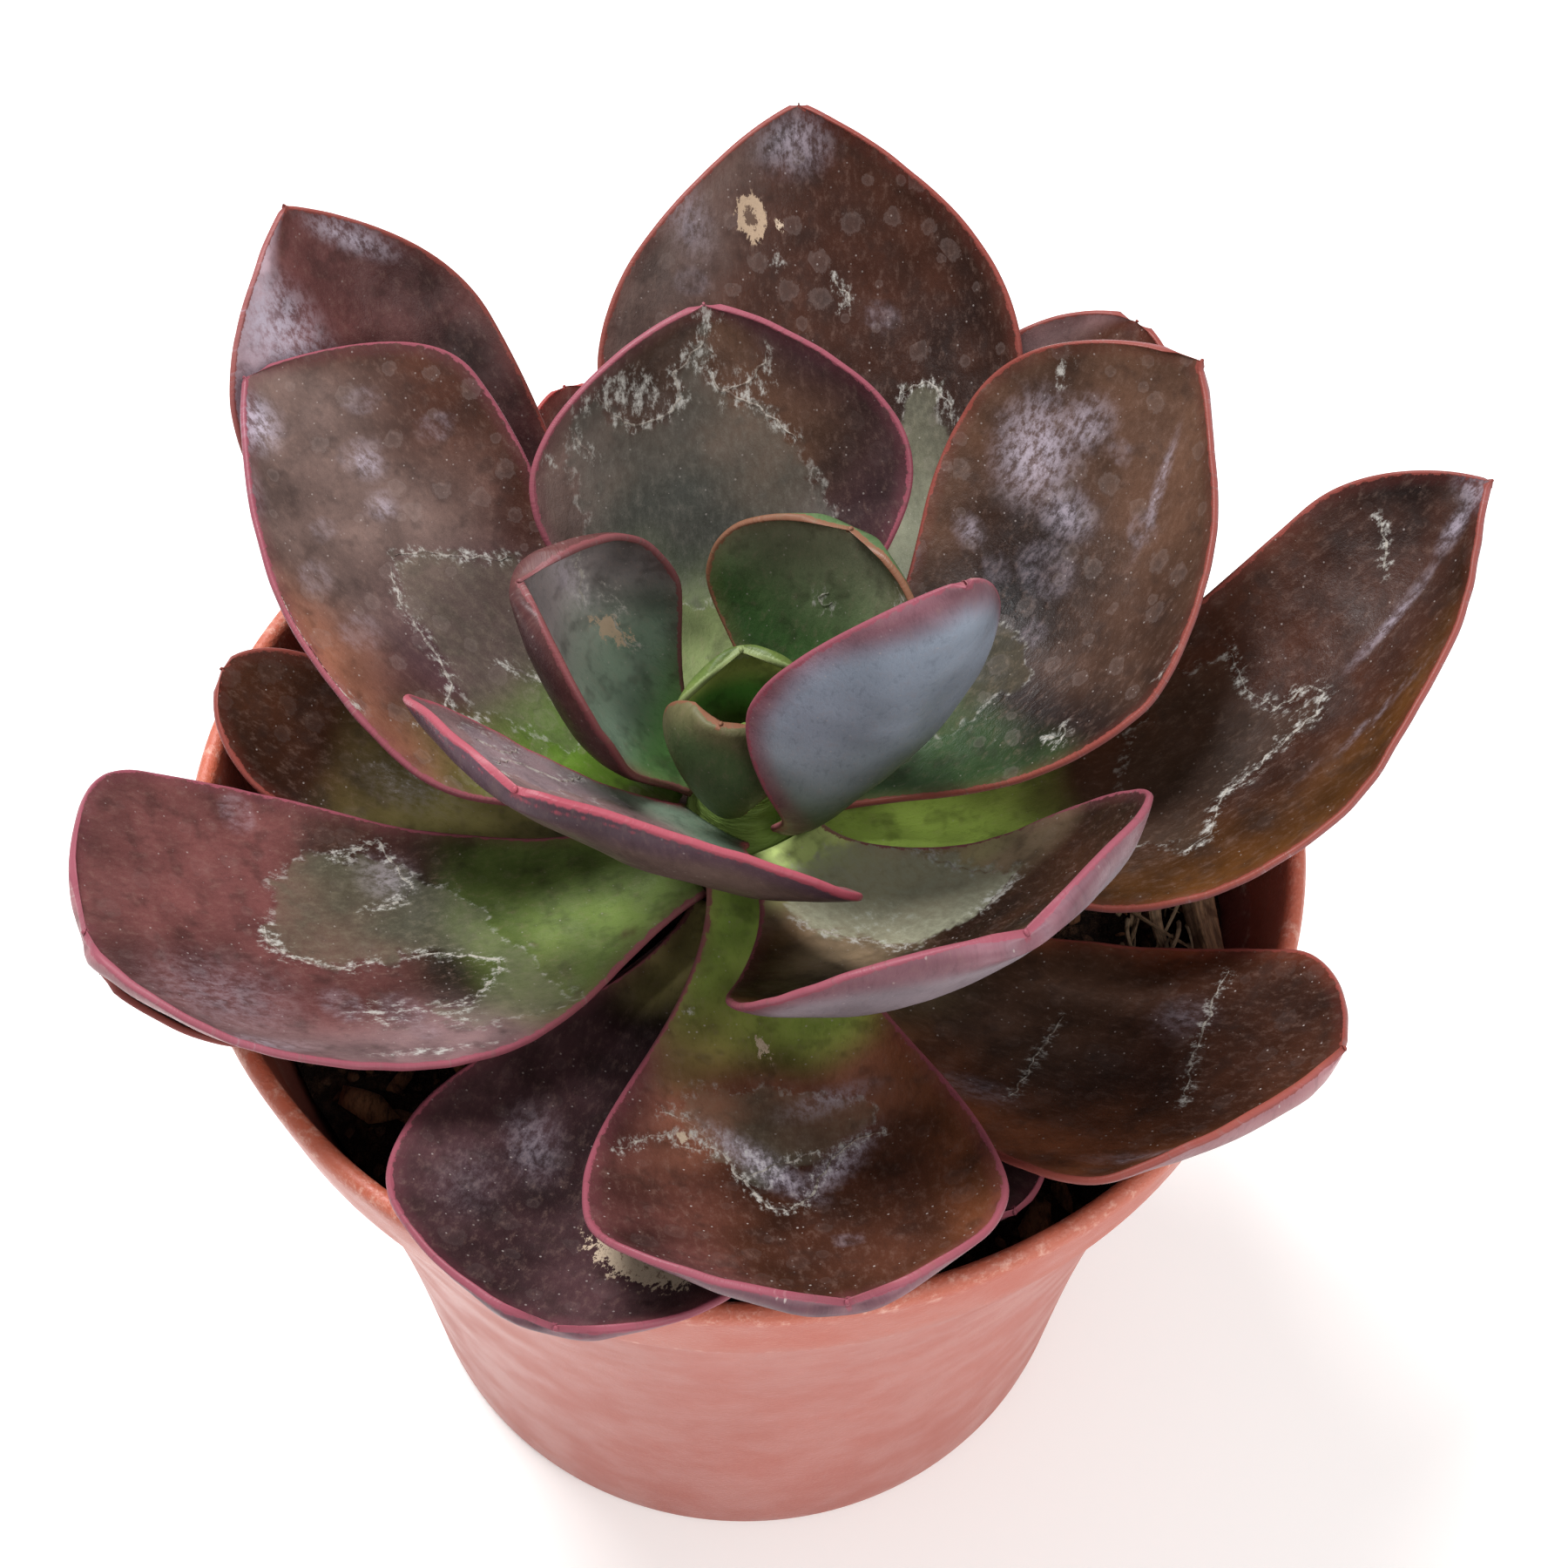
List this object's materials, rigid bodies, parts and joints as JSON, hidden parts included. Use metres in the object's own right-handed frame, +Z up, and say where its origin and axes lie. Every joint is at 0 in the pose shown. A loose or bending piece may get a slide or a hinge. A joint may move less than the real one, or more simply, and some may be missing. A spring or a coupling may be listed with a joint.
{
  "type": "potted echeveria",
  "caption": "Echeveria rosette with cupped fleshy leaves on a short stem, rooted in soil in a flared round nursery pot with a rolled rim.",
  "frame": {"origin": "centre of the flat pad under the pot, on the pot's axis", "axes": "+Z up along the pot's axis, -Y toward the front of the plant, +X to the right as seen from the front"},
  "size_m": [0.1457, 0.1405, 0.144],
  "materials": {
    "terracotta": "matte moulded plastic, lightly scuffed",
    "soil": "damp crumbly potting mix",
    "stem": "dull woody skin",
    "dry_stalk": "dry and fibrous",
    "leaf_maroon": "smooth waxy skin with bloom and water spots",
    "leaf_green": "smooth waxy skin",
    "leaf_withered": "dry wrinkled skin"
  },
  "bodies": {
    "root": {"pot": "terracotta", "soil": "soil", "stem": "stem", "dry_stalk": "dry_stalk", "leaf_withered": "leaf_withered", "leaf_low_left": "leaf_maroon", "leaf_low_left_back": "leaf_maroon", "leaf_low_front_right": "leaf_maroon", "leaf_low_right_back": "leaf_maroon", "leaf_low_front_left": "leaf_maroon", "leaf_low_back": "leaf_maroon", "leaf_low_right": "leaf_maroon", "leaf_outer_left_back": "leaf_maroon", "leaf_outer_left": "leaf_maroon", "leaf_outer_front": "leaf_maroon", "leaf_outer_back": "leaf_maroon", "leaf_outer_right": "leaf_maroon", "leaf_mid_left_back": "leaf_maroon", "leaf_mid_right_back": "leaf_maroon", "leaf_mid_front_right": "leaf_maroon", "leaf_mid_back": "leaf_maroon", "leaf_mid_front_left": "leaf_maroon", "leaf_inner_right": "leaf_green", "leaf_inner_left": "leaf_green", "leaf_inner_back": "leaf_green", "leaf_heart_front": "leaf_green", "leaf_heart_right": "leaf_green", "leaf_heart_back": "leaf_green"}
  },
  "joints": []
}
